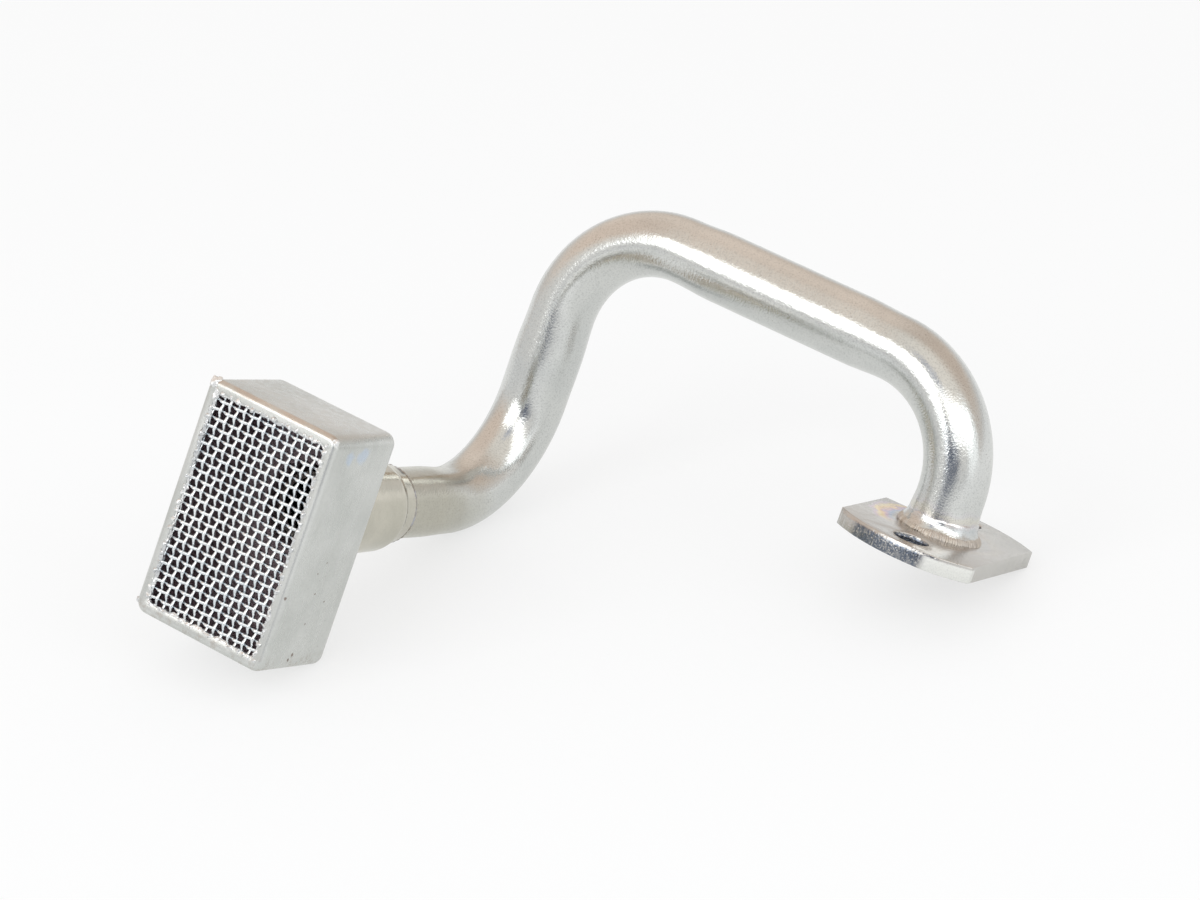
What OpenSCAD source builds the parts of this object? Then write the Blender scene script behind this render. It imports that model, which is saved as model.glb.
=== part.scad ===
// Oil pickup tube: wire screen strainer, thrice bent suction tube, two-bolt flange.
// Design frame: Z is the flange normal, X runs along the top of the tube,
// Y is the way the strainer looks away from. place() lays it down as it rests.

/* [Tube] */
// Outside diameter of the suction tube
tube_od = 12.7; // [8:0.1:20]
// Wall of the suction tube
tube_wall = 1.2; // [0.6:0.1:2]
// Centre line radius of all three bends
bend_radius = 20; // [14:0.5:32]
// Plate top to the axis of the top run
flange_leg = 26.2; // [22:0.1:60]
// Top run, corner to corner
run_length = 85; // [50:0.5:140]
// Drop from the top run to the inlet run, corner to corner
drop_leg = 56.4; // [44:0.1:100]
// Inlet run, corner to the outside of the strainer's back
inlet_run = 63.2; // [55:0.1:110]

/* [Strainer housing] */
// Width of the housing at its front rim
housing_width = 28.2; // [22:0.1:45]
// Height of the housing at its front rim
housing_height = 43.2; // [30:0.1:70]
// Depth of the housing from rim to back
housing_depth = 20.2; // [12:0.1:30]
// Sheet that the housing is drawn from
sheet = 0.8; // [0.6:0.1:1.4]
// How far each long side leans in towards the back
side_draft = 0.6; // [0:0.1:2]
// Corner radius of the front outline
corner_radius = 2.2; // [1.8:0.1:5]
// Radius round the back edge
back_radius = 2.2; // [1.8:0.1:5]
// Radius of the folded front edge
rim_radius = 1; // [0.9:0.1:2]
// Width of the rim that is folded over the screen
rim_width = 2.1; // [1.8:0.1:4]
// How far the neck sits above the middle of the housing
neck_rise = 2.5; // [0:0.1:5]
// Outside radius of the neck at its root
neck_radius = 8.8; // [7.5:0.1:14]
// Root radius where the neck is drawn out of the back
neck_root = 3.2; // [1:0.1:6]
// Length of the neck behind the housing
neck_length = 24.2; // [15:0.5:40]
// Length of the neck's closed-down end
neck_end = 2.2; // [1:0.1:6]
// Length of the cone between the neck and its seat
neck_cone = 3; // [1:0.5:6]
// Taper of the neck on its radius
neck_taper = 0.5; // [0:0.1:1.5]
// Distance of the tube's end from the housing's back
tube_stop = 1; // [0:0.5:10]

/* [Screen] */
// Wire diameter of the screen
wire = 0.7; // [0.4:0.05:1]
// Openings across the screen
screen_columns = 8; // [4:1:9]
// Openings down the screen
screen_rows = 14; // [6:1:14]

/* [Flange] */
// Thickness of the flange plate
plate = 3; // [2:0.1:6]
// Width of the plate between its two straight sides
plate_width = 26.6; // [22:0.1:40]
// Radius of the plate's round ends
end_radius = 22; // [20:0.1:32]
// Sideways offset of the centres of the round ends
end_offset = 2.5; // [0:0.1:4]
// Forward offset of the centres of the round ends
end_lead = 1; // [0:0.1:3]
// Turn of the plate about the tube
plate_turn = 7; // [-45:0.5:45]
// Circle that the two bolt holes lie on
bolt_circle = 30; // [28:0.1:44]
// Bolt hole diameter
bolt_hole = 6.4; // [5:0.1:9]
// Turn of the bolt line against the plate's straight sides
bolt_turn = 2.3; // [-10:0.1:10]
// Width of the clearance notch in one back corner
notch_width = 5.5; // [0:0.1:6]
// Where the notch begins, behind the tube's axis
notch_start = 7.1; // [5:0.1:12]
// Leg of the weld round the tube's foot
weld_leg = 1.8; // [1:0.1:3]

/* [Fits] */
// Radial clearance of the tube in the plate and in the neck
tube_clear = 0.05; // [0.02:0.01:0.2]
// Clearance round the edge of the screen
screen_clear = 0.35; // [0.3:0.05:0.8]

/* [Hidden] */
$fn = 64;
// Turn and shift that lay the part on its housing corner, lower bend and flange.
rest_turn = [-22.167, 11.408, 0];
rest_shift = [42.788, 39.124, 11.004];
tube_r = tube_od / 2;
bore_r = tube_r - tube_wall;
inlet_z = flange_leg - drop_leg;
neck_tip = neck_radius - neck_taper;
neck_bore = tube_r + tube_clear;
braze_leg = neck_bore + sheet - tube_r;
lean = atan(side_draft / housing_depth);
screen_w = housing_width - 2 * sheet - 2 * screen_clear;
screen_h = housing_height - 2 * sheet - 2 * screen_clear;
open_w = housing_width - 2 * rim_width;
open_h = housing_height - 2 * rim_width;

module place() translate(rest_shift) rotate(rest_turn) children();

// Housing frame: Y from the front rim to the back, origin in the middle of the rim.
module at_housing()
  translate([-run_length, -inlet_run - housing_depth, inlet_z - neck_rise]) children();

// Neck frame: Z along the neck, away from the housing's back.
module at_neck()
  translate([-run_length, -inlet_run, inlet_z]) rotate([-90, 0, 0]) children();

module round_rect(w, h, r) {
  square([w - 2 * r, h], center = true);
  square([w, h - 2 * r], center = true);
  for (x = [-1, 1], y = [-1, 1]) translate([x * (w / 2 - r), y * (h / 2 - r)]) circle(r);
}

// Section of the drawn body from rim (y = 0) to back, with both ends rounded.
module drawn_section(w, d, rf, rb, a) {
  yb = d - rb;
  xb = w / 2 - yb * tan(a) - rb / cos(a);
  xf = w / 2 - rf * tan(a) - rf / cos(a);
  polygon([[-xf, 0], [xf, 0], [xf + rf * cos(a), rf + rf * sin(a)],
           [xb + rb * cos(a), yb + rb * sin(a)], [xb, d], [-xb, d],
           [-xb - rb * cos(a), yb + rb * sin(a)], [-xf - rf * cos(a), rf + rf * sin(a)]]);
  for (s = [-1, 1]) {
    translate([s * xb, yb]) circle(rb);
    translate([s * xf, rf]) circle(rf);
  }
}

module drawn_body(w, h, d, rc, rf, rb) intersection() {
  rotate([90, 0, 0]) translate([0, 0, -d - 1]) linear_extrude(d + 2) round_rect(w, h, rc);
  translate([0, 0, -h]) linear_extrude(2 * h) drawn_section(w, d, rf, rb, lean);
  rotate([0, -90, 0]) translate([0, 0, -w]) linear_extrude(2 * w) drawn_section(h, d, rf, rb, 0);
}

module neck_outside() {
  cylinder(r1 = neck_radius, r2 = neck_tip, h = neck_length - neck_end - neck_cone);
  translate([0, 0, neck_length - neck_end - neck_cone])
    cylinder(r1 = neck_tip, r2 = neck_bore + sheet, h = neck_cone);
  translate([0, 0, neck_length - neck_end]) cylinder(r = neck_bore + sheet, h = neck_end);
  translate([0, 0, -sheet]) cylinder(r = neck_radius + neck_root, h = sheet);
  rotate_extrude() difference() {
    translate([neck_radius - 1, 0]) square([neck_root + 1, neck_root]);
    translate([neck_radius + neck_root, neck_root]) circle(neck_root);
  }
}

module neck_inside() {
  translate([0, 0, -sheet - 1])
    cylinder(r1 = neck_radius - sheet, r2 = neck_tip - sheet, h = neck_length - neck_end - neck_cone + 1 + sheet);
  translate([0, 0, neck_length - neck_end - neck_cone])
    cylinder(r1 = neck_tip - sheet, r2 = neck_bore, h = neck_cone);
  cylinder(r = neck_bore, h = neck_length + 1);
}

module strainer_housing() color([0.72, 0.72, 0.71]) place() difference() {
  union() {
    at_housing() drawn_body(housing_width, housing_height, housing_depth,
                            corner_radius, rim_radius, back_radius);
    at_neck() neck_outside();
  }
  at_housing() {
    translate([0, sheet, 0])
      drawn_body(housing_width - 2 * sheet, housing_height - 2 * sheet, housing_depth - 2 * sheet,
                 corner_radius - sheet, rim_radius - sheet, back_radius - sheet);
    rotate([90, 0, 0]) translate([0, 0, -2 * sheet]) linear_extrude(3 * sheet)
      round_rect(open_w, open_h, 1);
  }
  at_neck() neck_inside();
}

module strainer_screen() color([0.8, 0.8, 0.78]) place() at_housing()
  translate([0, sheet + wire * 0.8, 0]) {
    for (i = [0 : screen_columns]) translate([(i / screen_columns - 0.5) * open_w, wire * 0.3, 0])
      cylinder(d = wire, h = (open_h + screen_h) / 2, center = true, $fn = 16);
    for (j = [0 : screen_rows]) translate([0, -wire * 0.3, (j / screen_rows - 0.5) * open_h])
      rotate([0, 90, 0]) cylinder(d = wire, h = (open_w + screen_w) / 2, center = true, $fn = 16);
    rotate([90, 0, 0]) translate([0, 0, -wire * 0.8]) linear_extrude(wire * 1.6) difference() {
      round_rect(screen_w, screen_h, corner_radius - sheet);
      square([open_w, open_h], center = true);
    }
  }

// Quarter of a pipe bend from +X to +Y round the origin.
module bend() intersection() {
  rotate_extrude() translate([bend_radius, 0]) difference() {
    circle(tube_r);
    circle(bore_r);
  }
  translate([0, 0, -tube_od]) cube([2 * bend_radius, 2 * bend_radius, 2 * tube_od]);
}

module pipe(h) difference() {
  cylinder(r = tube_r, h = h);
  translate([0, 0, -1]) cylinder(r = bore_r, h = h + 2);
}

// Each piece starts where the one before it ends.
module suction_tube() color([0.75, 0.73, 0.69]) place() {
  b = bend_radius;
  translate([0, 0, -plate]) pipe(plate + flange_leg - b);
  translate([-b, 0, flange_leg - b]) rotate([90, 0, 0]) bend();
  translate([b - run_length, 0, flange_leg]) {
    rotate([0, 90, 0]) pipe(run_length - 2 * b);
    translate([0, 0, -b]) rotate([90, -90, 0]) bend();
    translate([-b, 0, -b]) {
      rotate([180, 0, 0]) pipe(drop_leg - 2 * b);
      translate([0, -b, 2 * b - drop_leg]) {
        rotate([0, 90, 0]) bend();
        translate([0, 0, -b]) rotate([90, 0, 0]) pipe(inlet_run - b - tube_stop);
      }
    }
  }
}

module neck_braze() color([0.62, 0.55, 0.42]) place() at_neck() translate([0, 0, neck_length])
  rotate_extrude() difference() {
    translate([tube_r, 0]) square([braze_leg - 0.2, 1.8]);
    translate([tube_r + braze_leg + 0.6, 2.6]) circle(2.2);
  }

module plate_outline() difference() {
  intersection() {
    square([plate_width, 4 * end_radius], center = true);
    translate([end_offset, end_lead]) circle(end_radius);
    translate([-end_offset, -end_lead]) circle(end_radius);
  }
  translate([-plate_width / 2 - 1, notch_start]) square([notch_width + 1, end_radius]);
}

module mounting_flange() color([0.7, 0.7, 0.7]) place() translate([0, 0, -plate])
  rotate([0, 0, plate_turn]) difference() {
    linear_extrude(plate) plate_outline();
    translate([0, 0, -1]) cylinder(r = tube_r + tube_clear, h = plate + 2);
    for (s = [0, 180]) rotate([0, 0, bolt_turn + s]) translate([0, -bolt_circle / 2, -1])
      cylinder(d = bolt_hole, h = plate + 2);
  }

module flange_weld() color([0.55, 0.47, 0.36]) place() rotate_extrude() intersection() {
  translate([tube_r, 0]) square(weld_leg);
  translate([tube_r - 0.25 * weld_leg, -0.3 * weld_leg]) circle(1.28 * weld_leg);
}

strainer_housing();
strainer_screen();
suction_tube();
neck_braze();
mounting_flange();
flange_weld();
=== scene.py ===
import logging
import math
from collections.abc import Callable, Iterator
from contextlib import contextmanager
from dataclasses import dataclass
from enum import Enum

import bmesh
import bpy
from mathutils import Euler, Matrix, Vector


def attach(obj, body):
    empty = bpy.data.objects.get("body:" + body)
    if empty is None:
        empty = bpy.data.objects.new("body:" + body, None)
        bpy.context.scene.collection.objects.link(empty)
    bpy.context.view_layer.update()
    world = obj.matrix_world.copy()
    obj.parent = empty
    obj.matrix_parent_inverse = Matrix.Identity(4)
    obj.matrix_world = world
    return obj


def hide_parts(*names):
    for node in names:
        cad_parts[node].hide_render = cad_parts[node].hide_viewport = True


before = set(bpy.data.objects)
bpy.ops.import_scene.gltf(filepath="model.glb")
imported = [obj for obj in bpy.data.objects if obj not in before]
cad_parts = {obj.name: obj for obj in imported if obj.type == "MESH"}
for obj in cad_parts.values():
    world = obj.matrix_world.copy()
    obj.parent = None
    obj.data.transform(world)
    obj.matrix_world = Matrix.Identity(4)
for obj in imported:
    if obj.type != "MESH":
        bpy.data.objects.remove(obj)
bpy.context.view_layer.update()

MM = 0.001
REST_TURN = (math.radians(-22.167), math.radians(11.408), 0.0)
REST_SHIFT = (42.788 * MM, 39.124 * MM, 11.004 * MM)
LOG = logging.getLogger("oil_pickup_tube")

Piece = bpy.types.Object
Socket = bpy.types.NodeSocket
Triple = tuple[float, float, float]
Spot = tuple[Triple, float]


class Part(Enum):
    """Kinds of mesh element that a selection can hold."""

    EDGE = "EDGE"
    FACE = "FACE"


class Axis(Enum):
    """The three directions of the drawing frame."""

    X = Vector((1.0, 0.0, 0.0))
    Y = Vector((0.0, 1.0, 0.0))
    Z = Vector((0.0, 0.0, 1.0))


class Merge(Enum):
    """Ways to combine two closed bodies."""

    ADD = "UNION"
    CUT = "DIFFERENCE"
    SHARE = "INTERSECT"


class Blend(Enum):
    """Ways to lay one colour over another."""

    COVER = "MIX"
    TINT = "MULTIPLY"


@dataclass(frozen=True)
class Layout:
    """Driving sizes that several pieces share, in millimetres of the drawing frame."""

    tube: float = 12.7
    clear: float = 0.05
    plate: float = 3.0
    flange_leg: float = 26.2
    run: float = 85.0
    drop: float = 56.4
    inlet: float = 63.2
    housing_depth: float = 20.2
    housing_rise: float = 2.5
    housing_draft: float = 0.6
    neck_length: float = 24.2
    flange_turn: float = 7.0
    bolt_circle: float = 30.0
    bolt_turn: float = 2.3
    mesh_pitch: float = 1.5875
    mesh_columns: int = 16
    mesh_rows: int = 26

    def rim_middle(self) -> Vector:
        """Gives the middle of the strainer's rim."""
        return Vector((-self.run, -self.inlet - self.housing_depth,
                       self.flange_leg - self.drop - self.housing_rise))

    def neck_end(self) -> Vector:
        """Gives the middle of the neck's end, where the tube goes in."""
        return Vector((-self.run, self.neck_length - self.inlet, self.flange_leg - self.drop))


LAYOUT = Layout()
RIM_MIDDLE = LAYOUT.rim_middle()
NECK_END = LAYOUT.neck_end()


def clear_selection() -> None:
    """Leaves edit mode and deselects every object."""
    if bpy.context.object and bpy.context.object.mode != "OBJECT":
        bpy.ops.object.mode_set(mode="OBJECT")
    bpy.ops.object.select_all(action="DESELECT")


def take(piece: Piece) -> None:
    """Makes one object the selected and active one.

    Args:
        piece: The object to work on.
    """
    clear_selection()
    piece.select_set(True)
    bpy.context.view_layer.objects.active = piece


def started(name: str) -> Piece:
    """Names the object that was just made.

    Args:
        name: Name of the piece.

    Returns:
        The new object.
    """
    piece = bpy.context.object
    piece.name = name
    piece.data.name = name
    return piece


def settle() -> None:
    """Moves place, turn and scale of the selected objects into their meshes."""
    bpy.ops.object.transform_apply(location=True, rotation=True, scale=True)


def copied(piece: Piece, name: str) -> Piece:
    """Copies a piece, with a mesh of its own.

    Args:
        piece: The piece to copy.
        name: Name of the copy.

    Returns:
        The copy.
    """
    take(piece)
    bpy.ops.object.duplicate(linked=False)
    return started(name)


def join(pieces: list[Piece], name: str) -> Piece:
    """Joins pieces into the first of them.

    Args:
        pieces: The pieces to join.
        name: Name of the result.

    Returns:
        The joined piece.
    """
    clear_selection()
    for piece in pieces:
        piece.select_set(True)
    bpy.context.view_layer.objects.active = pieces[0]
    settle()
    bpy.ops.object.join()
    return started(name)


@contextmanager
def editing(piece: Piece) -> Iterator[None]:
    """Opens a piece in edit mode for the time of a with block.

    Args:
        piece: The mesh object to edit.

    Returns:
        Nothing that the block needs.
    """
    take(piece)
    bpy.ops.object.mode_set(mode="EDIT")
    yield
    bpy.ops.object.mode_set(mode="OBJECT")


def pick(piece: Piece, part: Part, test: Callable[[object], bool]) -> None:
    """Selects in edit mode the elements that pass a test, and nothing else.

    Args:
        piece: The mesh object in edit mode.
        part: Which kind of element the test reads.
        test: Takes an element and says whether it is selected.
    """
    bpy.ops.mesh.select_mode(type=part.value)
    bpy.ops.mesh.select_all(action="DESELECT")
    mesh = bmesh.from_edit_mesh(piece.data)
    for element in mesh.edges if part is Part.EDGE else mesh.faces:
        if test(element):
            element.select_set(True)
    mesh.select_flush_mode()
    bmesh.update_edit_mesh(piece.data)


def runs_back(edge: bmesh.types.BMEdge) -> bool:
    """Tells whether an edge of a box runs from its front to its back."""
    return abs(edge.verts[0].co.y - edge.verts[1].co.y) > MM


def push(step: Triple) -> None:
    """Extrudes the selected loop or faces by a step in metres."""
    bpy.ops.mesh.extrude_region_move(TRANSFORM_OT_translate={"value": step})


def scale_ring(size: Triple, centre: Vector) -> None:
    """Scales the selection about a point."""
    bpy.ops.transform.resize(value=size, center_override=tuple(centre))


def round_off(radius: float, segments: int) -> None:
    """Rounds the selected edges by a radius in millimetres."""
    bpy.ops.mesh.bevel(offset=radius * MM, offset_type="OFFSET", segments=segments)


def finish_with(piece: Piece, kind: str, **settings: object) -> None:
    """Adds a modifier, sets it up and applies it.

    Args:
        piece: The object that gets the modifier.
        kind: Blender's name of the modifier type.
        settings: Values for the modifier's own properties.
    """
    take(piece)
    bpy.ops.object.modifier_add(type=kind)
    modifier = piece.modifiers[-1]
    for key, value in settings.items():
        setattr(modifier, key, value)
    bpy.ops.object.modifier_apply(modifier=modifier.name)


def combine(piece: Piece, tool: Piece, how: Merge) -> None:
    """Combines a piece with a tool that is then thrown away.

    Args:
        piece: The piece that is kept.
        tool: The other body.
        how: Way of combining them.
    """
    finish_with(piece, "BOOLEAN", operation=how.value, object=tool, solver="EXACT")
    bpy.data.objects.remove(tool, do_unlink=True)


def repeat(piece: Piece, step: Vector, count: int, **settings: object) -> None:
    """Repeats a piece in a row.

    Args:
        piece: The piece to repeat.
        step: Step from one to the next, in millimetres.
        count: How many there are in the end.
        settings: Further values of the Array modifier.
    """
    finish_with(piece, "ARRAY", count=count, use_relative_offset=False, use_constant_offset=True,
                constant_offset_displace=tuple(step * MM), **settings)


def roughen(piece: Piece, name: str, size: float, strength: float) -> None:
    """Makes a surface lumpy.

    Args:
        piece: The piece to change.
        name: Name of the texture.
        size: Size of the lumps, in millimetres.
        strength: Height from hollow to crest, in millimetres.
    """
    lumps = bpy.data.textures.new(name, "CLOUDS")
    lumps.noise_scale = size * MM
    finish_with(piece, "DISPLACE", texture=lumps, strength=strength * MM, mid_level=0.5,
                texture_coords="LOCAL")


def outward(piece: Piece) -> None:
    """Merges doubles and turns all faces outwards.

    Args:
        piece: The mesh object to mend.
    """
    with editing(piece):
        bpy.ops.mesh.select_all(action="SELECT")
        bpy.ops.mesh.remove_doubles(threshold=1e-6)
        bpy.ops.mesh.normals_make_consistent(inside=False)


def lay_down(piece: Piece, smooth_angle: float) -> Piece:
    """Moves a piece from the drawing frame to the way the part lies on the floor.

    Args:
        piece: The finished mesh, in the drawing frame.
        smooth_angle: Edges under this angle, in degrees, are shaded smooth.

    Returns:
        The same piece.
    """
    take(piece)
    settle()
    piece.rotation_euler = Euler(REST_TURN)
    piece.location = REST_SHIFT
    settle()
    bpy.ops.object.shade_smooth_by_angle(angle=math.radians(smooth_angle))
    return piece


class NodeNet:
    """A small hand for laying out shader nodes in one tree."""

    def __init__(self, tree: bpy.types.NodeTree) -> None:
        """Keeps the tree that the nodes go into."""
        self.tree = tree

    def add(self, kind: str, **values: object) -> bpy.types.Node:
        """Adds a node and sets its properties and input sockets.

        Args:
            kind: Blender's node type.
            values: Properties by name; a name that is no property is an input socket,
                with _ for a space, and in_0 for a socket by number.

        Returns:
            The new node.
        """
        node = self.tree.nodes.new(kind)
        for key, value in values.items():
            if key.startswith("in_"):
                self.feed(node.inputs[int(key[3:])], value)
            elif hasattr(node, key):
                setattr(node, key, value)
            else:
                self.feed(node.inputs[key.replace("_", " ")], value)
        return node

    def feed(self, socket: Socket, value: object) -> None:
        """Links a socket to another or sets its value.

        Args:
            socket: The input socket.
            value: An output socket or a plain value.
        """
        if isinstance(value, Socket):
            self.tree.links.new(value, socket)
        else:
            socket.default_value = value

    def math(self, operation: str, a: object, b: object = 0.0) -> Socket:
        """Adds a Math node and gives its result."""
        return self.add("ShaderNodeMath", operation=operation, in_0=a, in_1=b).outputs[0]

    def times(self, a: object, b: object) -> Socket:
        """Multiplies two values."""
        return self.math("MULTIPLY", a, b)

    def plus(self, a: object, b: object) -> Socket:
        """Adds two values."""
        return self.math("ADD", a, b)

    def minus(self, a: object, b: object) -> Socket:
        """Takes the second value from the first."""
        return self.math("SUBTRACT", a, b)

    def spread(self, value: object, low: float, high: float, to_low: float = 0.0,
               to_high: float = 1.0) -> Socket:
        """Maps a value smoothly from one range to another.

        Args:
            value: The socket to map.
            low: Start of the range that is read.
            high: End of the range that is read.
            to_low: Result at low.
            to_high: Result at high.

        Returns:
            The result socket.
        """
        node = self.add("ShaderNodeMapRange", interpolation_type="SMOOTHSTEP", in_0=value,
                        in_1=low, in_2=high, in_3=to_low, in_4=to_high)
        return node.outputs[0]

    def over(self, value: Socket, low: float, high: float) -> Socket:
        """Masks where a length passes from one place to the next, in millimetres."""
        return self.spread(value, low * MM, high * MM)

    def under(self, value: Socket, low: float, high: float) -> Socket:
        """Masks where a length stays under a place, in millimetres, with a soft edge."""
        return self.spread(value, low * MM, high * MM, 1.0, 0.0)

    def noise(self, at: Socket, scale: float, detail: float = 2.0,
              roughness: float = 0.5) -> Socket:
        """Adds a Noise texture.

        Args:
            at: Coordinates to read.
            scale: Cells to a metre.
            detail: Octaves.
            roughness: Share of the fine octaves.

        Returns:
            The value socket.
        """
        return self.add("ShaderNodeTexNoise", Vector=at, Scale=scale, Detail=detail,
                        Roughness=roughness).outputs[0]

    def wander(self, at: Socket, scale: float, reach: float, detail: float = 2.0) -> Socket:
        """Gives a length that wanders over the surface, up to a reach in millimetres."""
        return self.times(self.noise(at, scale, detail), reach * MM)

    def parts(self, vector: Socket) -> bpy.types.NodeOutputs:
        """Takes coordinates apart."""
        return self.add("ShaderNodeSeparateXYZ", Vector=vector).outputs

    def stretch(self, vector: Socket, share: float) -> Socket:
        """Draws a pattern out in height by lowering its third coordinate to a share."""
        return self.add("ShaderNodeMapping", Vector=vector, Scale=(1.0, 1.0, share)).outputs[0]

    def off_line(self, vector: Socket, middle: Triple, counted: Triple) -> Socket:
        """Measures how far the surface lies from a line or a point.

        Args:
            vector: Coordinates of the surface.
            middle: A point on the line, in millimetres.
            counted: 1 for each direction that counts and 0 for the line's own.

        Returns:
            The distance in metres.
        """
        off = self.add("ShaderNodeVectorMath", operation="SUBTRACT", in_0=vector,
                       in_1=tuple(v * MM for v in middle)).outputs[0]
        flat = self.add("ShaderNodeVectorMath", operation="MULTIPLY", in_0=off,
                        in_1=counted).outputs[0]
        return self.add("ShaderNodeVectorMath", operation="LENGTH", in_0=flat).outputs["Value"]

    def blend(self, share: object, a: object, b: object, mode: Blend = Blend.COVER) -> Socket:
        """Mixes two colours.

        Args:
            share: How much of the second colour shows.
            a: First colour or socket.
            b: Second colour or socket.
            mode: Way of laying one over the other.

        Returns:
            The colour socket.
        """
        node = self.add("ShaderNodeMix", data_type="RGBA", blend_type=mode.value)
        for place, value in ((0, share), (6, a), (7, b)):
            self.feed(node.inputs[place], (*value, 1.0) if isinstance(value, tuple) else value)
        return node.outputs[2]

    def paint(self, under: Socket, mask: Socket, share: float, colour: object) -> Socket:
        """Lays a colour over another where a mask shows, at a share of its strength."""
        return self.blend(self.times(mask, share), under, colour)

    def group(self, tree: bpy.types.NodeTree, **values: object) -> bpy.types.Node:
        """Places a node group.

        Args:
            tree: The group's tree.
            values: Its inputs by name, with _ for a space.

        Returns:
            The group node.
        """
        node = self.add("ShaderNodeGroup", node_tree=tree)
        for key, value in values.items():
            self.feed(node.inputs[key.replace("_", " ")], value)
        return node


class SharedEffects:
    """Node groups that several finishes use."""

    HEAT_COLOURS = ((0.0, (0.42, 0.40, 0.38)), (0.16, (0.30, 0.42, 0.62)),
                    (0.32, (0.62, 0.40, 0.55)), (0.46, (0.90, 0.62, 0.30)),
                    (0.62, (0.95, 0.78, 0.42)), (0.78, (0.72, 0.58, 0.70)),
                    (1.0, (0.78, 0.77, 0.75)))

    def __init__(self) -> None:
        """Builds the groups once."""
        self.speckle = self.make_speckle()
        self.stain = self.make_stain()
        self.heat = self.make_heat()

    @staticmethod
    def new_group(name: str, inputs: dict[str, tuple[str, object]],
                  outputs: dict[str, str]) -> tuple[bpy.types.NodeTree, NodeNet,
                                                    bpy.types.Node, bpy.types.Node]:
        """Makes an empty group with named sockets.

        Args:
            name: Name of the group.
            inputs: Socket type and start value by input name.
            outputs: Socket type by output name.

        Returns:
            The tree, a net to fill it, its input node and its output node.
        """
        tree = bpy.data.node_groups.new(name, "ShaderNodeTree")
        for key, (kind, start) in inputs.items():
            socket = tree.interface.new_socket(name=key, in_out="INPUT", socket_type=kind)
            if start is not None:
                socket.default_value = start
        for key, kind in outputs.items():
            tree.interface.new_socket(name=key, in_out="OUTPUT", socket_type=kind)
        net = NodeNet(tree)
        return tree, net, net.add("NodeGroupInput"), net.add("NodeGroupOutput")

    def make_speckle(self) -> bpy.types.NodeTree:
        """Makes the fine grain of bright plating: tiny bumps and a few pits.

        Returns:
            The group's tree.
        """
        tree, net, given, out = self.new_group(
            "plating_speckle",
            {"Vector": ("NodeSocketVector", None), "Grain": ("NodeSocketFloat", 4200.0)},
            {"Height": "NodeSocketFloat", "Pits": "NodeSocketFloat", "Tone": "NodeSocketFloat"})
        at, grain = given.outputs[0], given.outputs[1]
        fine, broad = net.noise(at, grain), net.noise(at, 620.0)
        cells = net.add("ShaderNodeTexVoronoi", Vector=at, Scale=900.0).outputs[0]
        rare = net.spread(net.noise(at, 160.0, 1.0), 0.56, 0.66)
        pits = net.times(net.spread(cells, 0.04, 0.13, 1.0, 0.0), rare)
        height = net.plus(net.times(fine, 0.6), net.times(broad, 0.5))
        net.feed(out.inputs["Height"], net.minus(height, net.times(pits, 0.7)))
        net.feed(out.inputs["Pits"], pits)
        net.feed(out.inputs["Tone"], net.spread(net.noise(at, 3600.0, 2.0, 0.6), 0.46, 0.72))
        return tree

    def make_stain(self) -> bpy.types.NodeTree:
        """Makes the cloudy change of tone and gloss left by handling and rinsing.

        Returns:
            The group's tree.
        """
        tree, net, given, out = self.new_group(
            "rinse_stain",
            {"Vector": ("NodeSocketVector", None), "Size": ("NodeSocketFloat", 60.0)},
            {"Cloud": "NodeSocketFloat", "Streak": "NodeSocketFloat"})
        at, size = given.outputs[0], given.outputs[1]
        streak = net.noise(net.stretch(at, 0.08), 900.0, 3.0)
        net.feed(out.inputs["Cloud"], net.spread(net.noise(at, size, 4.0, 0.62), 0.3, 0.7))
        net.feed(out.inputs["Streak"], net.spread(streak, 0.35, 0.68))
        return tree

    def make_heat(self) -> bpy.types.NodeTree:
        """Makes the oxide colours that run outwards from a welded seam.

        Returns:
            The group's tree.
        """
        tree, net, given, out = self.new_group(
            "heat_tint",
            {"Distance": ("NodeSocketFloat", 0.0), "Reach": ("NodeSocketFloat", 0.006)},
            {"Color": "NodeSocketColor", "Mask": "NodeSocketFloat"})
        share = net.math("DIVIDE", given.outputs[0], given.outputs[1])
        ramp = net.add("ShaderNodeValToRGB", Fac=share)
        bar = ramp.color_ramp
        while len(bar.elements) < len(self.HEAT_COLOURS):
            bar.elements.new(0.5)
        for element, (place, colour) in zip(bar.elements, self.HEAT_COLOURS):
            element.position = place
            element.color = (*colour, 1.0)
        net.feed(out.inputs["Color"], ramp.outputs[0])
        net.feed(out.inputs["Mask"], net.spread(share, 0.75, 1.0, 1.0, 0.0))
        return tree


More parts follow.
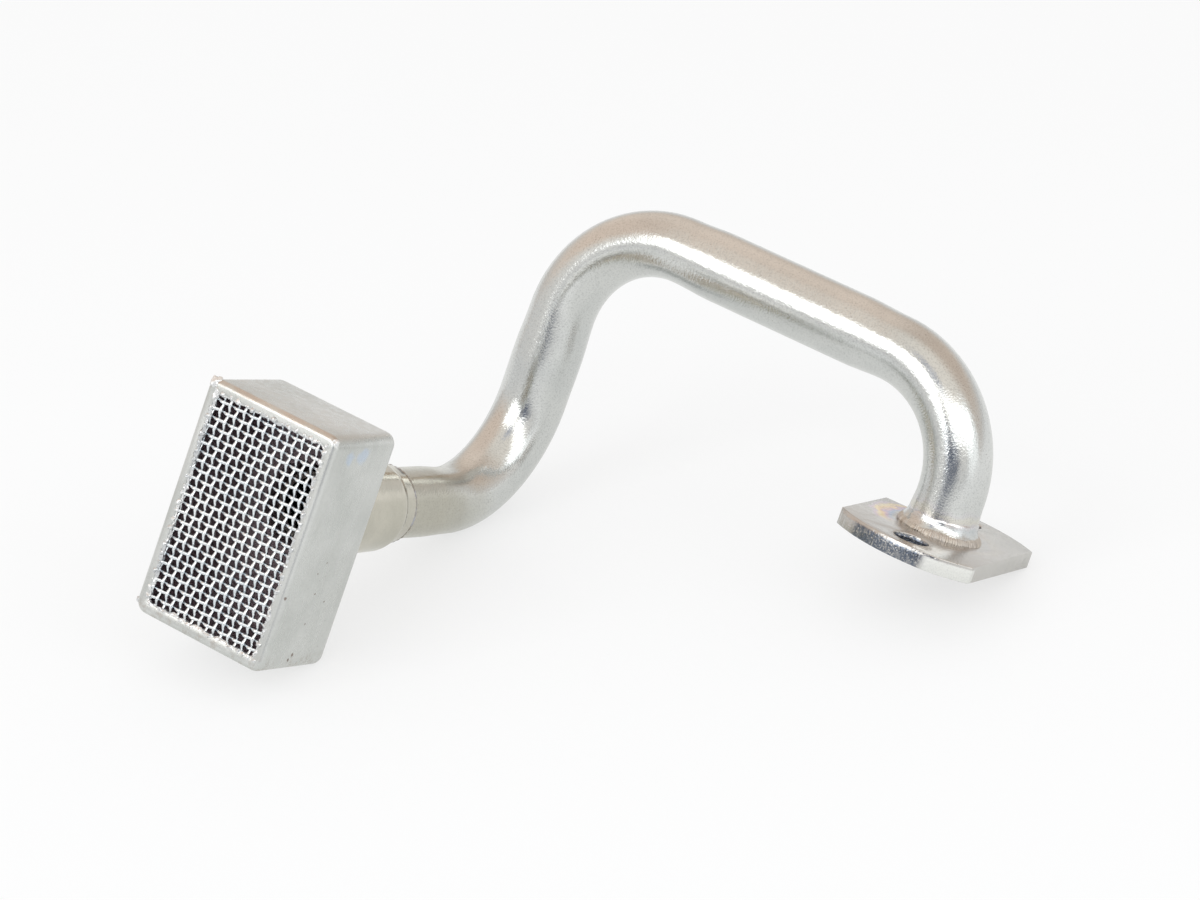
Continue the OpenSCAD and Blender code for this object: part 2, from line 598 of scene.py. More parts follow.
@dataclass(frozen=True, kw_only=True)
class PlatedSteel:
    """A bright zinc-plated finish."""

    name: str
    slot: str
    colour: Triple
    tone: Triple
    gloss: tuple[float, float]
    grain: float
    bump: float
    mottle: float = 0.1
    metal: float = 1.0
    cloud_size: float = 70.0
    bump_height: float = 0.3
    pit_share: float = 0.55
    pit_colour: Triple = (0.16, 0.13, 0.11)
    mottle_colour: Triple = (0.12, 0.12, 0.13)

    def begin(self) -> tuple[bpy.types.Material, NodeNet, bpy.types.Node, Socket]:
        """Starts the material with its shader and the drawing frame's coordinates.

        Returns:
            The material, its net, its Principled node and the coordinates.
        """
        material = bpy.data.materials.new(self.name)
        material.use_nodes = True
        net = NodeNet(material.node_tree)
        shader = material.node_tree.nodes["Principled BSDF"]
        place = net.add("ShaderNodeTexCoord").outputs["Object"]
        drawn = net.add("ShaderNodeMapping", vector_type="TEXTURE", Vector=place,
                        Location=REST_SHIFT, Rotation=REST_TURN).outputs[0]
        return material, net, shader, drawn

    def dress(self, effects: SharedEffects) -> bpy.types.Material:
        """Makes the material.

        Args:
            effects: The shared node groups.

        Returns:
            The finished material.
        """
        material, net, shader, drawn = self.begin()
        speckle = net.group(effects.speckle, Vector=drawn, Grain=self.grain)
        stain = net.group(effects.stain, Vector=drawn, Size=self.cloud_size)
        colour = net.blend(stain.outputs["Cloud"], self.colour, self.tone)
        colour = self.marks(net, drawn, colour, effects)
        colour = net.paint(colour, speckle.outputs["Pits"], self.pit_share, self.pit_colour)
        colour = net.paint(colour, speckle.outputs["Tone"], self.mottle, self.mottle_colour)
        rough = net.spread(stain.outputs["Streak"], 0.0, 1.0, *self.gloss)
        height = self.relief(net, drawn, speckle.outputs["Height"])
        bump = net.add("ShaderNodeBump", Strength=self.bump, Distance=self.bump_height * MM,
                       Height=height)
        net.feed(shader.inputs["Base Color"], colour)
        net.feed(shader.inputs["Roughness"], self.gloss_change(net, drawn, rough))
        shader.inputs["Metallic"].default_value = self.metal
        net.feed(shader.inputs["Normal"], bump.outputs[0])
        return material

    def marks(self, net: NodeNet, drawn: Socket, colour: Socket, effects: SharedEffects) -> Socket:
        """Gives the colour back with nothing added."""
        return colour

    def relief(self, net: NodeNet, drawn: Socket, height: Socket) -> Socket:
        """Gives the height back with nothing added."""
        return height

    def gloss_change(self, net: NodeNet, drawn: Socket, rough: Socket) -> Socket:
        """Gives the roughness back with nothing added."""
        return rough

    @staticmethod
    def spot(net: NodeNet, drawn: Socket, at: Triple, size: float, ragged: float = 0.4) -> Socket:
        """Masks a ragged round spot.

        Args:
            net: The material's net.
            drawn: Coordinates in the drawing frame.
            at: Middle of the spot, in millimetres.
            size: Radius in millimetres.
            ragged: How far the edge wanders, as a share of the radius.

        Returns:
            The mask.
        """
        far = net.off_line(drawn, at, (1.0, 1.0, 1.0))
        edge = net.wander(drawn, 900.0 / size, ragged * 2.0 * size, 3.0)
        return net.under(net.plus(far, edge), size, size * 1.5)


@dataclass(frozen=True, kw_only=True)
class TubePlating(PlatedSteel):
    """Plating on the drawn tube, heated at its welded end."""

    heat_from: float = 3.0
    heat_reach: float = 4.2
    heat_share: float = 0.12
    film_colour: Triple = (0.79, 0.75, 0.665)
    stain_at: Spot = ((-72.0, -4.2, 12.5), 1.6)
    stain_colour: Triple = (0.42, 0.52, 0.80)

    def marks(self, net: NodeNet, drawn: Socket, colour: Socket, effects: SharedEffects) -> Socket:
        """Adds heat tint at the weld, an olive film at the inlet and a blue stain.

        Args:
            net: The material's net.
            drawn: Coordinates in the drawing frame.
            colour: Colour so far.
            effects: The shared node groups.

        Returns:
            The colour with the marks.
        """
        x, y, z = net.parts(drawn)
        away = net.plus(net.minus(z, self.heat_from * MM), net.wander(drawn, 420.0, 3.0))
        heat = net.group(effects.heat, Distance=away, Reach=self.heat_reach * MM)
        foot = net.times(heat.outputs["Mask"], net.over(x, -30.0, -20.0))
        colour = net.paint(colour, foot, self.heat_share, heat.outputs["Color"])
        cloud = net.plus(y, net.wander(drawn, 130.0, 12.0, 3.0))
        film = net.times(net.under(cloud, -22.0, -4.0), net.under(z, -22.0, -12.0))
        colour = net.blend(film, colour, self.film_colour, Blend.TINT)
        return net.paint(colour, self.spot(net, drawn, *self.stain_at), 0.5, self.stain_colour)


@dataclass(frozen=True, kw_only=True)
class HousingPlating(PlatedSteel):
    """Satin plating on the drawn housing, with stains, rust specks, and painted shade inside and at
    the neck's lip.
    """

    rinse_marks: tuple[Spot, ...] = (((-71.1, -77.6, -14.8), 2.2), ((-71.2, -73.5, -14.6), 2.6))
    rinse_colour: Triple = (0.56, 0.68, 0.88)
    rust_specks: tuple[Spot, ...] = (
        ((-71.0, -83.1, -40.2), 0.45), ((-71.1, -74.9, -51.1), 0.45), ((-71.1, -75.7, -52.0), 0.4),
        ((-71.1, -75.5, -36.0), 0.22), ((-71.2, -74.2, -39.8), 0.24), ((-71.2, -73.7, -34.1), 0.2),
        ((-71.3, -70.3, -41.5), 0.24), ((-71.2, -74.1, -45.4), 0.22))
    rust_colour: Triple = (0.16, 0.09, 0.065)
    neck_from: float = -62.5
    neck_colour: Triple = (0.88, 0.83, 0.74)
    rim_colour: Triple = (0.56, 0.46, 0.39)
    dirt_colour: Triple = (0.42, 0.36, 0.31)
    # Painted shadow: a near-black spot on the neck's lip stands in for the shade in the gap between
    # lip and tube, which is not cut.
    gap_shadow_at: Spot = ((-83.5, -39.2, -23.5), 1.3)
    gap_shadow_colour: Triple = (0.05, 0.04, 0.035)
    inside_half: Triple = (13.7, 9.7, 21.2)
    inside_round: float = 1.7
    # Painted shade: the inside is coloured darker and tinted against the plating, for the dim
    # inside seen through the mesh.
    painted_inside_shade: Triple = (0.46, 0.375, 0.405)
    inside_rough: float = 0.75

    def within(self, net: NodeNet, drawn: Socket) -> Socket:
        """Masks the inside of the drawn box and its neck.

        Args:
            net: The material's net.
            drawn: Coordinates in the drawing frame.

        Returns:
            The mask.
        """
        parts = net.parts(drawn)
        centre = RIM_MIDDLE + Vector((0.0, LAYOUT.housing_depth / 2, 0.0))
        sides = [net.math("ABSOLUTE", net.minus(part, place * MM))
                 for part, place in zip(parts, centre)]
        lean = net.times(net.minus(parts[1], RIM_MIDDLE.y * MM),
                         LAYOUT.housing_draft / LAYOUT.housing_depth)
        sides[0] = net.plus(sides[0], lean)
        total = 0.0
        for side, half in zip(sides, self.inside_half):
            over = net.math("MAXIMUM", net.minus(side, (half - self.inside_round) * MM), 0.0)
            total = net.plus(net.times(over, over), total)
        box = net.under(net.math("SQRT", total), self.inside_round - 0.1, self.inside_round + 0.1)
        bore = net.under(net.off_line(drawn, tuple(NECK_END), (1.0, 0.0, 1.0)), 8.05, 8.2)
        return net.math("MAXIMUM", box, net.times(bore, net.under(parts[1], -46.0, -45.0)))

    def gloss_change(self, net: NodeNet, drawn: Socket, rough: Socket) -> Socket:
        """Makes the drawn-out neck glossier than the box and the inside dull.

        Args:
            net: The material's net.
            drawn: Coordinates in the drawing frame.
            rough: Roughness so far.

        Returns:
            The changed roughness.
        """
        neck = net.over(net.parts(drawn)[1], self.neck_from, self.neck_from + 4.0)
        rough = net.minus(rough, net.times(neck, 0.18))
        inside = net.times(self.within(net, drawn), self.inside_rough)
        return net.math("MAXIMUM", rough, inside)

    def marks(self, net: NodeNet, drawn: Socket, colour: Socket, effects: SharedEffects) -> Socket:
        """Adds bluish rinse marks, rust, a tan rim line, dirt, a painted shadow at the neck's lip
        and painted shade on the inside.

        Args:
            net: The material's net.
            drawn: Coordinates in the drawing frame.
            colour: Colour so far.
            effects: The shared node groups; not used.

        Returns:
            The colour with the marks.
        """
        for spots, ragged, share, tint in ((self.rinse_marks, 0.7, 0.5, self.rinse_colour),
                                           (self.rust_specks, 0.5, 0.75, self.rust_colour)):
            for at, size in spots:
                colour = net.paint(colour, self.spot(net, drawn, at, size, ragged), share, tint)
        _, y, z = net.parts(drawn)
        neck = net.over(y, self.neck_from, self.neck_from + 3.5)
        colour = net.blend(neck, colour, self.neck_colour, Blend.TINT)
        rim = net.times(net.under(y, -82.6, -82.0), net.over(z, -12.1, -11.7))
        rim = net.times(rim, net.spread(net.noise(drawn, 300.0, 3.0), 0.3, 0.6))
        colour = net.paint(colour, rim, 0.5, self.rim_colour)
        dirt = net.times(net.under(z, -53.0, -50.5),
                         net.spread(net.noise(drawn, 750.0, 4.0, 0.6), 0.46, 0.66))
        colour = net.paint(colour, dirt, 0.4, self.dirt_colour)
        # Painted shadow of the gap between the neck's lip and the tube.
        gap_shadow = self.spot(net, drawn, *self.gap_shadow_at, 0.5)
        colour = net.paint(colour, gap_shadow, 0.85, self.gap_shadow_colour)
        # Painted shade: the inside of the box and neck is coloured darker.
        return net.blend(self.within(net, drawn), colour, self.painted_inside_shade)


@dataclass(frozen=True, kw_only=True)
class FlangePlating(PlatedSteel):
    """Bright plating on the blanked plate: torn edges darkened partly by painted dark reflection, a
    painted highlight on the clean cut, heat colours round the weld.
    """

    heat_from: float = 10.0
    heat_reach: float = 5.2
    # Partly the clean cut's own shine, partly a painted highlight: the clean cut is coloured much
    # brighter than the face.
    clean_cut_highlight_colour: Triple = (0.88, 0.89, 0.87)
    # Partly dark torn metal, partly painted dark reflection on the cut edge and painted shade on
    # the bolt-hole walls.
    torn_and_dark_reflection_colour: Triple = (0.16, 0.185, 0.23)

    def marks(self, net: NodeNet, drawn: Socket, colour: Socket, effects: SharedEffects) -> Socket:
        """Adds the heat colours on the top face, a painted highlight on the clean cut and the torn
        edge darkened partly by painted dark reflection.

        Args:
            net: The material's net.
            drawn: Coordinates in the drawing frame.
            colour: Colour so far.
            effects: The shared node groups.

        Returns:
            The colour with the marks.
        """
        x, _, z = net.parts(drawn)
        away = net.plus(net.minus(self.from_tube(net, drawn), self.heat_from * MM),
                        net.wander(drawn, 260.0, 4.0))
        heat = net.group(effects.heat, Distance=away, Reach=self.heat_reach * MM)
        side = net.spread(x, -8.5 * MM, -4.0 * MM, 1.0, 0.05)
        share = net.times(net.times(heat.outputs["Mask"], side), net.over(z, -0.6, -0.1))
        colour = net.paint(colour, share, 0.8, heat.outputs["Color"])
        # Painted highlight on the clean cut of the front edge.
        colour = net.paint(colour, self.clean(net, drawn), 0.85, self.clean_cut_highlight_colour)
        # Painted dark reflection and shade on the torn edge and the bolt-hole walls.
        return net.blend(self.torn_and_dark_reflection(net, drawn), colour, self.torn_and_dark_reflection_colour)

    @staticmethod
    def from_tube(net: NodeNet, drawn: Socket, middle: Triple = (0.0, 0.0, 0.0)) -> Socket:
        """Measures how far the plate lies from an upright axis, by default the tube's."""
        return net.off_line(drawn, middle, (1.0, 1.0, 0.0))

    def clean(self, net: NodeNet, drawn: Socket) -> Socket:
        """Masks the part of the front edge that the punch cut cleanly.

        Args:
            net: The material's net.
            drawn: Coordinates in the drawing frame.

        Returns:
            The mask.
        """
        x, _, z = net.parts(drawn)
        front = net.times(net.over(self.from_tube(net, drawn), 19.8, 20.4), net.over(x, 7.0, 8.8))
        return net.times(front, net.under(z, -0.7, -0.3))

    def torn_and_dark_reflection(self, net: NodeNet, drawn: Socket) -> Socket:
        """Masks the torn part of the cut edge and the walls of the bolt holes, darkened partly as
        torn metal and partly as painted dark reflection and shade.

        Args:
            net: The material's net.
            drawn: Coordinates in the drawing frame.

        Returns:
            The mask, broken by bright flecks.
        """
        x, y, z = net.parts(drawn)
        lines = net.noise(net.stretch(drawn, 0.5), 1300.0, 3.0, 0.6)
        flecks = net.times(net.spread(lines, 0.45, 0.64, 1.0, 0.65),
                           net.spread(net.noise(drawn, 3200.0), 0.54, 0.64, 1.0, 0.1))
        reach = net.times(net.over(x, -7.8, -5.8), net.under(x, 6.6, 8.4))
        front = net.times(net.under(y, -19.0, -17.2), reach)
        dark = net.times(front, net.under(z, -0.7, -0.3))
        for side in (-90.0, 90.0):
            turn = math.radians(LAYOUT.flange_turn + LAYOUT.bolt_turn + side)
            hole = Vector((math.cos(turn), math.sin(turn), 0.0)) * LAYOUT.bolt_circle / 2
            wall = net.times(net.under(self.from_tube(net, drawn, tuple(hole)), 3.3, 3.45),
                             net.under(z, -0.4, -0.2))
            dark = net.math("MAXIMUM", dark, wall)
        return net.times(dark, flecks)

    def gloss_change(self, net: NodeNet, drawn: Socket, rough: Socket) -> Socket:
        """Makes the clean cut duller than the face."""
        return net.plus(rough, net.times(self.clean(net, drawn), 0.4))

    def relief(self, net: NodeNet, drawn: Socket, height: Socket) -> Socket:
        """Adds the upright tearing lines on the plate's cut edge.

        Args:
            net: The material's net.
            drawn: Coordinates in the drawing frame.
            height: Height so far.

        Returns:
            The height with the lines.
        """
        tear = net.noise(net.stretch(drawn, 0.05), 1500.0, 3.0)
        edge = net.minus(net.under(net.parts(drawn)[2], -0.8, -0.2),
                         net.times(self.clean(net, drawn), 0.85))
        return net.plus(height, net.times(net.times(tear, edge), 1.3))


@dataclass(frozen=True, kw_only=True)
class WeldMetal(PlatedSteel):
    """Tan, dull weld metal with a smoky edge."""

    ripples: float = 0.0
    ripple_height: float = 0.28
    soot_colour: Triple = (0.20, 0.15, 0.11)
    burnt_colour: Triple = (0.50, 0.51, 0.57)
    crest_colour: Triple = (0.62, 0.61, 0.58)

    def relief(self, net: NodeNet, drawn: Socket, height: Socket) -> Socket:
        """Adds the fine ripples that a weld leaves as it sets.

        Args:
            net: The material's net.
            drawn: Coordinates in the drawing frame.
            height: Height so far.

        Returns:
            The height with the ripples.
        """
        if not self.ripples:
            return height
        x, y, _ = net.parts(drawn)
        way_round = net.times(net.math("ARCTAN2", y, x), self.ripples)
        wave = net.math("SINE", net.plus(way_round, net.times(net.noise(drawn, 500.0), 9.0)))
        return net.plus(height, net.times(wave, self.ripple_height))

    def marks(self, net: NodeNet, drawn: Socket, colour: Socket, effects: SharedEffects) -> Socket:
        """Darkens the hollows, burns one side blue and leaves the crest grey.

        Args:
            net: The material's net.
            drawn: Coordinates in the drawing frame.
            colour: Colour so far.
            effects: The shared node groups; not used.

        Returns:
            The colour with the marks.
        """
        x, _, z = net.parts(drawn)
        soot = net.spread(net.noise(drawn, 1100.0, 4.0), 0.5, 0.72)
        colour = net.paint(colour, soot, 0.22, self.soot_colour)
        burnt = net.times(net.spread(net.noise(drawn, 380.0, 3.0), 0.42, 0.62),
                          net.spread(x, -6.0 * MM, -3.5 * MM, 0.8, 0.15))
        colour = net.blend(burnt, colour, self.burnt_colour)
        return net.blend(net.over(z, 0.8, 1.5), colour, self.crest_colour)


TUBE_FINISH = TubePlating(
    name="tube_plating", slot="tube_steel", colour=(0.635, 0.65, 0.645), tone=(0.70, 0.71, 0.70),
    gloss=(0.14, 0.19), grain=2900.0, bump=0.18, mottle=0.22)
HOUSING_FINISH = HousingPlating(
    name="housing_plating", slot="housing_steel", colour=(0.61, 0.625, 0.61),
    tone=(0.72, 0.73, 0.72), gloss=(0.27, 0.36), grain=2600.0, bump=0.06, mottle=0.09)
FLANGE_FINISH = FlangePlating(
    name="flange_plating", slot="flange_steel", colour=(0.555, 0.54, 0.52),
    tone=(0.615, 0.60, 0.58), gloss=(0.15, 0.21), grain=2400.0, bump=0.35)
WIRE_FINISH = PlatedSteel(
    name="wire_plating", slot="screen_wire", colour=(0.89, 0.92, 0.94), tone=(0.78, 0.83, 0.87),
    gloss=(0.20, 0.30), grain=3000.0, bump=0.2)
SOLDER_FINISH = PlatedSteel(
    name="crimp_solder", slot="screen_wire", colour=(0.90, 0.90, 0.90), tone=(0.58, 0.60, 0.62),
    gloss=(0.24, 0.40), grain=1800.0, bump=0.8, mottle=0.3, metal=0.8)
WELD_FINISH = WeldMetal(
    name="weld_metal", slot="weld", colour=(0.585, 0.535, 0.475), tone=(0.66, 0.61, 0.55),
    gloss=(0.48, 0.58), grain=3000.0, bump=0.6, mottle=0.15, ripples=112.0)
BRAZE_FINISH = WeldMetal(
    name="braze_metal", slot="braze", colour=(0.30, 0.27, 0.23), tone=(0.46, 0.43, 0.38),
    gloss=(0.28, 0.42), grain=3000.0, bump=0.5)


@dataclass(kw_only=True)
class SubAssembly:
    """A piece of the part, with its finish and the CAD nodes that it stands for."""

    finish: PlatedSteel
    nodes: tuple[str, ...] = ()

    def build(self) -> Piece:
        """Models the piece, each kind in its own way."""
        raise NotImplementedError

    def dress(self, piece: Piece, effects: SharedEffects) -> None:
        """Gives a piece its finish, fixes it to the part and reports it.

        Args:
            piece: The finished mesh.
            effects: The shared node groups.
        """
        material = bpy.data.materials.get(self.finish.name) or self.finish.dress(effects)
        piece.data.materials.clear()
        piece.data.materials.append(material)
        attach(piece, "root")
        if self.nodes:
            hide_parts(*self.nodes)
        LOG.info("%s: %d faces", piece.name, len(piece.data.polygons))


@dataclass(kw_only=True)
class TubeRun(SubAssembly):
    """The bent tube: a flange leg, a top run, a drop leg and an inlet run."""

    finish: PlatedSteel = TUBE_FINISH
    nodes: tuple[str, ...] = ("suction_tube",)
    outside: float = LAYOUT.tube
    wall: float = 1.2
    bend: float = 20.0
    plate: float = LAYOUT.plate
    flange_leg: float = LAYOUT.flange_leg
    run: float = LAYOUT.run
    drop: float = LAYOUT.drop
    inlet: float = LAYOUT.inlet
    set_back: float = 1.0
    flattening: float = 0.945
    ease: float = 8.0
    short_ease: float = 4.6
    points: int = 64
    bend_rings: int = 24
    ease_rings: int = 8

    def straight(self, way: Vector, length: float, steps: int) -> None:
        """Extrudes the open ring along a straight.

        Args:
            way: Unit direction.
            length: Length in millimetres.
            steps: Number of rings.
        """
        for _ in range(steps):
            push(tuple(way * (length / steps * MM)))

    def squeeze(self, at: Vector, across: Axis, way: Vector, share: float, length: float) -> None:
        """Extrudes the straight next to a bend while the ring changes its ovality.

        Args:
            at: Centre of the ring, in millimetres.
            across: Direction in which the ring is narrowed.
            way: Direction of the tube.
            share: Narrowing over the whole ease.
            length: Length of the ease, in millimetres.
        """
        steps = self.ease_rings
        for i in range(steps):
            before, now = (share ** ((1 - math.cos(math.pi * k / steps)) / 2) for k in (i, i + 1))
            push(tuple(way * (length / steps * MM)))
            at = at + way * (length / steps)
            scale_ring(tuple(now / before if axis == across else 1.0 for axis in Axis), at * MM)

    def turn(self, centre: Vector, axis: Vector) -> None:
        """Spins the open ring through a right angle.

        Args:
            centre: Middle of the bend, in millimetres.
            axis: Axis of the bend.
        """
        bpy.ops.mesh.spin(steps=self.bend_rings, angle=math.pi / 2, center=tuple(centre * MM),
                          axis=tuple(axis), use_auto_merge=False)

    def build(self) -> Piece:
        """Models the tube from its flange end to its inlet.

        Returns:
            The tube, with its wall.
        """
        x, y, z = Axis.X.value, Axis.Y.value, Axis.Z.value
        b, e, c, f = self.bend, self.ease, self.short_ease, self.flattening
        top, low = self.flange_leg, self.flange_leg - self.drop
        clear_selection()
        bpy.ops.mesh.primitive_circle_add(vertices=self.points, radius=self.outside / 2 * MM,
                                          location=(0.0, 0.0, -self.plate * MM))
        tube = started("suction_tube_skin")
        settle()
        with editing(tube):
            bpy.ops.mesh.select_all(action="SELECT")
            self.straight(z, top - b + self.plate - c, 2)
            self.squeeze(Vector((0, 0, top - b - c)), Axis.X, z, f, c)
            self.turn(Vector((-b, 0, top - b)), y)
            self.squeeze(Vector((-b, 0, top)), Axis.Z, -x, 1 / f, e)
            self.straight(-x, self.run - 2 * b - 2 * e, 8)
            self.squeeze(Vector((b - self.run + e, 0, top)), Axis.Z, -x, f, e)
            self.turn(Vector((b - self.run, 0, top - b)), y)
            self.squeeze(Vector((-self.run, 0, top - b)), Axis.X, -z, 1 / f, e)
            self.straight(-z, self.drop - 2 * b - 2 * e, 1)
            self.squeeze(Vector((-self.run, 0, low + b + e)), Axis.Y, -z, f, e)
            self.turn(Vector((-self.run, -b, low + b)), x)
            self.squeeze(Vector((-self.run, -b, low)), Axis.Z, -y, 1 / f, e)
            self.straight(-y, self.inlet - self.set_back - b - e, 6)
        outward(tube)
        finish_with(tube, "SOLIDIFY", thickness=self.wall * MM, offset=-1.0)
        return lay_down(tube, 35.0)


@dataclass(kw_only=True)
class StrainerHousing(SubAssembly):
    """The drawn sheet box with its rim, back and neck."""

    finish: PlatedSteel = HOUSING_FINISH
    nodes: tuple[str, ...] = ("strainer_housing",)
    width: float = 28.2
    height: float = 43.2
    depth: float = LAYOUT.housing_depth
    sheet: float = 0.8
    draft: float = LAYOUT.housing_draft
    corner: float = 2.2
    back_round: float = 2.1
    rim_round: float = 1.0
    rim: float = 2.1
    mouth_corner: float = 1.0
    rise: float = LAYOUT.housing_rise
    neck: float = 8.8
    root: float = 3.2
    root_steps: int = 10
    root_gap: float = 0.004
    narrowing: float = 0.5
    early_taper: tuple[float, float] = (6.0, 0.2)
    late_taper: tuple[float, float] = (0.6, 0.02)
    closing: float = 3.0
    closing_steps: int = 6
    lip: tuple[tuple[float, float], ...] = ((0.4, 0.0), (0.1, 0.06), (0.0, 0.2))
    length: float = LAYOUT.neck_length
    end: float = 2.2
    bore: float = LAYOUT.tube / 2 + LAYOUT.clear
    edge_break: float = 0.18
    neck_points: int = 96

    def at(self, x: float, y: float, z: float) -> Vector:
        """Gives a point in metres from the middle of the rim, in millimetres."""
        return (RIM_MIDDLE + Vector((x, y, z))) * MM

    def cube(self, name: str, middle: Vector, size: Triple) -> Piece:
        """Adds a plain block.

        Args:
            name: Name of the block.
            middle: Its middle, in metres.
            size: Width, depth and height, in millimetres.

        Returns:
            The block.
        """
        clear_selection()
        bpy.ops.mesh.primitive_cube_add(size=MM, location=middle)
        block = started(name)
        block.scale = size
        settle()
        return block

    def block(self, name: str, skin: float) -> Piece:
        """Models the drawn body as a closed block.

        Args:
            name: Name of the block.
            skin: How far it lies inside the outside of the housing, in millimetres.

        Returns:
            The block.
        """
        wide, tall = self.width - 2 * skin, self.height - 2 * skin
        block = self.cube(name, self.at(0, self.depth / 2, 0), (wide, self.depth - 2 * skin, tall))
        near = 1e-6
        front, back = self.at(0, skin, 0).y + near, self.at(0, self.depth - skin, 0).y - near
        with editing(block):
            pick(block, Part.FACE, lambda face: face.normal.y > 0.9)
            scale_ring(((wide - 2 * self.draft) / wide, 1, 1), self.at(0, self.depth - skin, 0))
            pick(block, Part.EDGE, runs_back)
            round_off(self.corner - skin, 10)
            pick(block, Part.EDGE, lambda edge: all(v.co.y > back for v in edge.verts))
            round_off(self.back_round - skin, 8)
            pick(block, Part.EDGE, lambda edge: all(v.co.y < front for v in edge.verts))
            round_off(self.rim_round - skin, 6)
        outward(block)
        return block

    def turned(self, name: str, profile: list[tuple[float, float]]) -> Piece:
        """Models a closed round body on the neck's axis.

        Args:
            name: Name of the body.
            profile: Places along the neck from the housing's back, and radii, in millimetres.

        Returns:
            The body.
        """
        clear_selection()
        start, radius = profile[0]
        bpy.ops.mesh.primitive_circle_add(vertices=self.neck_points, radius=radius * MM,
                                          fill_type="NGON", rotation=(math.pi / 2, 0, 0),
                                          location=self.at(0, self.depth + start, self.rise))
        body = started(name)
        settle()
        with editing(body):
            bpy.ops.mesh.select_all(action="SELECT")
            for far, wide in profile[1:]:
                push((0.0, (far - start) * MM, 0.0))
                scale_ring((wide / radius, 1.0, wide / radius),
                           self.at(0, self.depth + far, self.rise))
                start, radius = far, wide
        outward(body)
        return body

    def neck_profile(self) -> list[tuple[float, float]]:
        """Lists the outside of the neck: root fillet, taper and seat.

        Returns:
            Places along the neck from the housing's back, and radii, in millimetres.
        """
        seat, tip = self.bore + self.sheet, self.neck - self.narrowing
        taper = self.length - self.end - self.closing
        line = [(-self.sheet / 2, self.neck + self.root)]
        for i in range(self.root_steps + 1):
            a = math.pi / 2 * i / self.root_steps
            line.append((self.root * (1 - math.cos(a)) + self.root_gap,
                         self.neck + self.root * (1 - math.sin(a))))
        past, less = self.early_taper
        before, more = self.late_taper
        line += [(self.root + past, self.neck - less), (taper - before, tip + more)]
        for i in range(self.closing_steps + 1):
            share = i / self.closing_steps
            closed = (1 - math.cos(math.pi * share)) / 2
            line.append((taper + self.closing * share, tip + (seat - tip) * closed))
        return line + [(self.length - back, seat - drop) for back, drop in self.lip]

    def mouth(self) -> Piece:
        """Models the rounded block that opens the front.

        Returns:
            The block.
        """
        block = self.cube("mouth", self.at(0, 0, 0), (
            self.width - 2 * self.rim, 4 * self.sheet, self.height - 2 * self.rim))
        with editing(block):
            pick(block, Part.EDGE, runs_back)
            round_off(self.mouth_corner, 6)
        return block

    def build(self) -> Piece:
        """Draws the box and its neck, then hollows them.

        Returns:
            The open shell.
        """
        shell = self.block("strainer_housing_shell", 0.0)
        outside = self.neck_profile()
        combine(shell, self.turned("neck_outside", outside), Merge.ADD)
        inside = [(-self.sheet - 1, self.neck - self.sheet)]
        inside += [(far, wide - self.sheet)
                   for far, wide in outside[self.root_steps + 2:-len(self.lip)]]
        inside += [(self.length + 1, self.bore)]
        combine(shell, self.block("cavity", self.sheet), Merge.CUT)
        combine(shell, self.turned("neck_inside", inside), Merge.CUT)
        combine(shell, self.mouth(), Merge.CUT)
        finish_with(shell, "BEVEL", width=self.edge_break * MM, segments=2, limit_method="ANGLE",
                    angle_limit=math.radians(50.0))
        return lay_down(shell, 40.0)


@dataclass(kw_only=True)
class WovenScreen(SubAssembly):
    """Plain square weave of crimped wires, lying almost flush in the housing's mouth."""

    finish: PlatedSteel = WIRE_FINISH
    nodes: tuple[str, ...] = ("strainer_screen",)
    pitch: float = LAYOUT.mesh_pitch
    columns: int = LAYOUT.mesh_columns
    rows: int = LAYOUT.mesh_rows
    wire: float = 0.62
    depth: float = 0.75
    touch: float = 0.98
    wire_sides: int = 8
    wave_steps: int = 12

    def strand(self, name: str, along: Axis, start: Vector, crown: float, waves: int) -> Piece:
        """Models one crimped wire: one wave extruded by hand, then repeated along.

        Args:
            name: Name of the wire.
            along: Direction of the wire.
            start: Where it begins, in millimetres.
            crown: Height of the first crown, with its sign.
            waves: How many waves it has.

        Returns:
            The wire.
        """
        turn = (0.0, math.pi / 2, 0.0) if along is Axis.X else (0.0, 0.0, 0.0)
        clear_selection()
        bpy.ops.mesh.primitive_circle_add(vertices=self.wire_sides, radius=self.wire / 2 * MM,
                                          rotation=turn, location=tuple(start * MM))
        wire = started(name)
        settle()
        wave = [crown * math.sin(2 * math.pi * i / self.wave_steps)
                for i in range(self.wave_steps + 1)]
        with editing(wire):
            bpy.ops.mesh.select_all(action="SELECT")
            for before, now in zip(wave, wave[1:]):
                step = along.value * (2 * self.pitch / self.wave_steps)
                push(tuple((step + Vector((0, now - before, 0))) * MM))
        repeat(wire, along.value * 2 * self.pitch, waves, use_merge_vertices=True,
               merge_threshold=1e-6)
        return wire

    def build(self) -> Piece:
        """Weaves the screen: every second row and column, then those between them.

        Returns:
            All wires as one piece.
        """
        crown = self.wire / 2 * self.touch
        left, low = -(self.columns - 1) / 2 * self.pitch, -(self.rows - 1) / 2 * self.pitch
        half = self.pitch / 2
        across, upright = self.columns // 2, self.rows // 2
        wires = []
        for odd in (0, 1):
            way, shift = (-crown if odd else crown), odd * self.pitch
            row = RIM_MIDDLE + Vector((left - half, self.depth, low + shift))
            wires.append(self.strand("row_wire_%d" % odd, Axis.X, row, way, across))
            repeat(wires[-1], Axis.Z.value * 2 * self.pitch, upright)
            column = RIM_MIDDLE + Vector((left + shift, self.depth, low - half))
            wires.append(self.strand("column_wire_%d" % odd, Axis.Z, column, -way, upright))
            repeat(wires[-1], Axis.X.value * 2 * self.pitch, across)
        screen = join(wires, "strainer_screen_weave")
        outward(screen)
        return lay_down(screen, 60.0)


